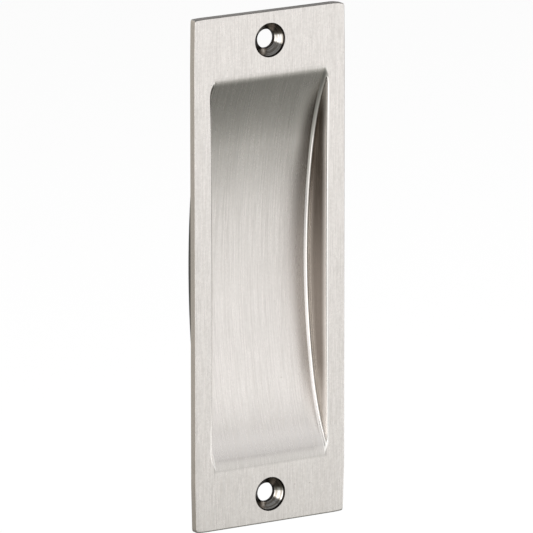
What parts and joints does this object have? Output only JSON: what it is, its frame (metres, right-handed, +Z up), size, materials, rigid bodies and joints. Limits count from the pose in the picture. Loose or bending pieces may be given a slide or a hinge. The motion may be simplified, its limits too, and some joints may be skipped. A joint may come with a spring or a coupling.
{
  "type": "flush pull for a pocket door",
  "caption": "Upright rectangular pull plate for a pocket or sliding door, with a scooped finger recess and countersunk screw holes at its ends.",
  "frame": {"origin": "middle of the plate's flat back face, halfway between the two screw holes", "axes": "+Z up along the plate, +Y into the door, from the plate's back to the bowl of the recess, +X across the plate, to the right seen from the front"},
  "size_m": [0.04, 0.0103, 0.12],
  "materials": {
    "satin_nickel": "satin, brushed along the plate"
  },
  "bodies": {
    "root": {"pull_plate": "satin_nickel"}
  },
  "joints": []
}
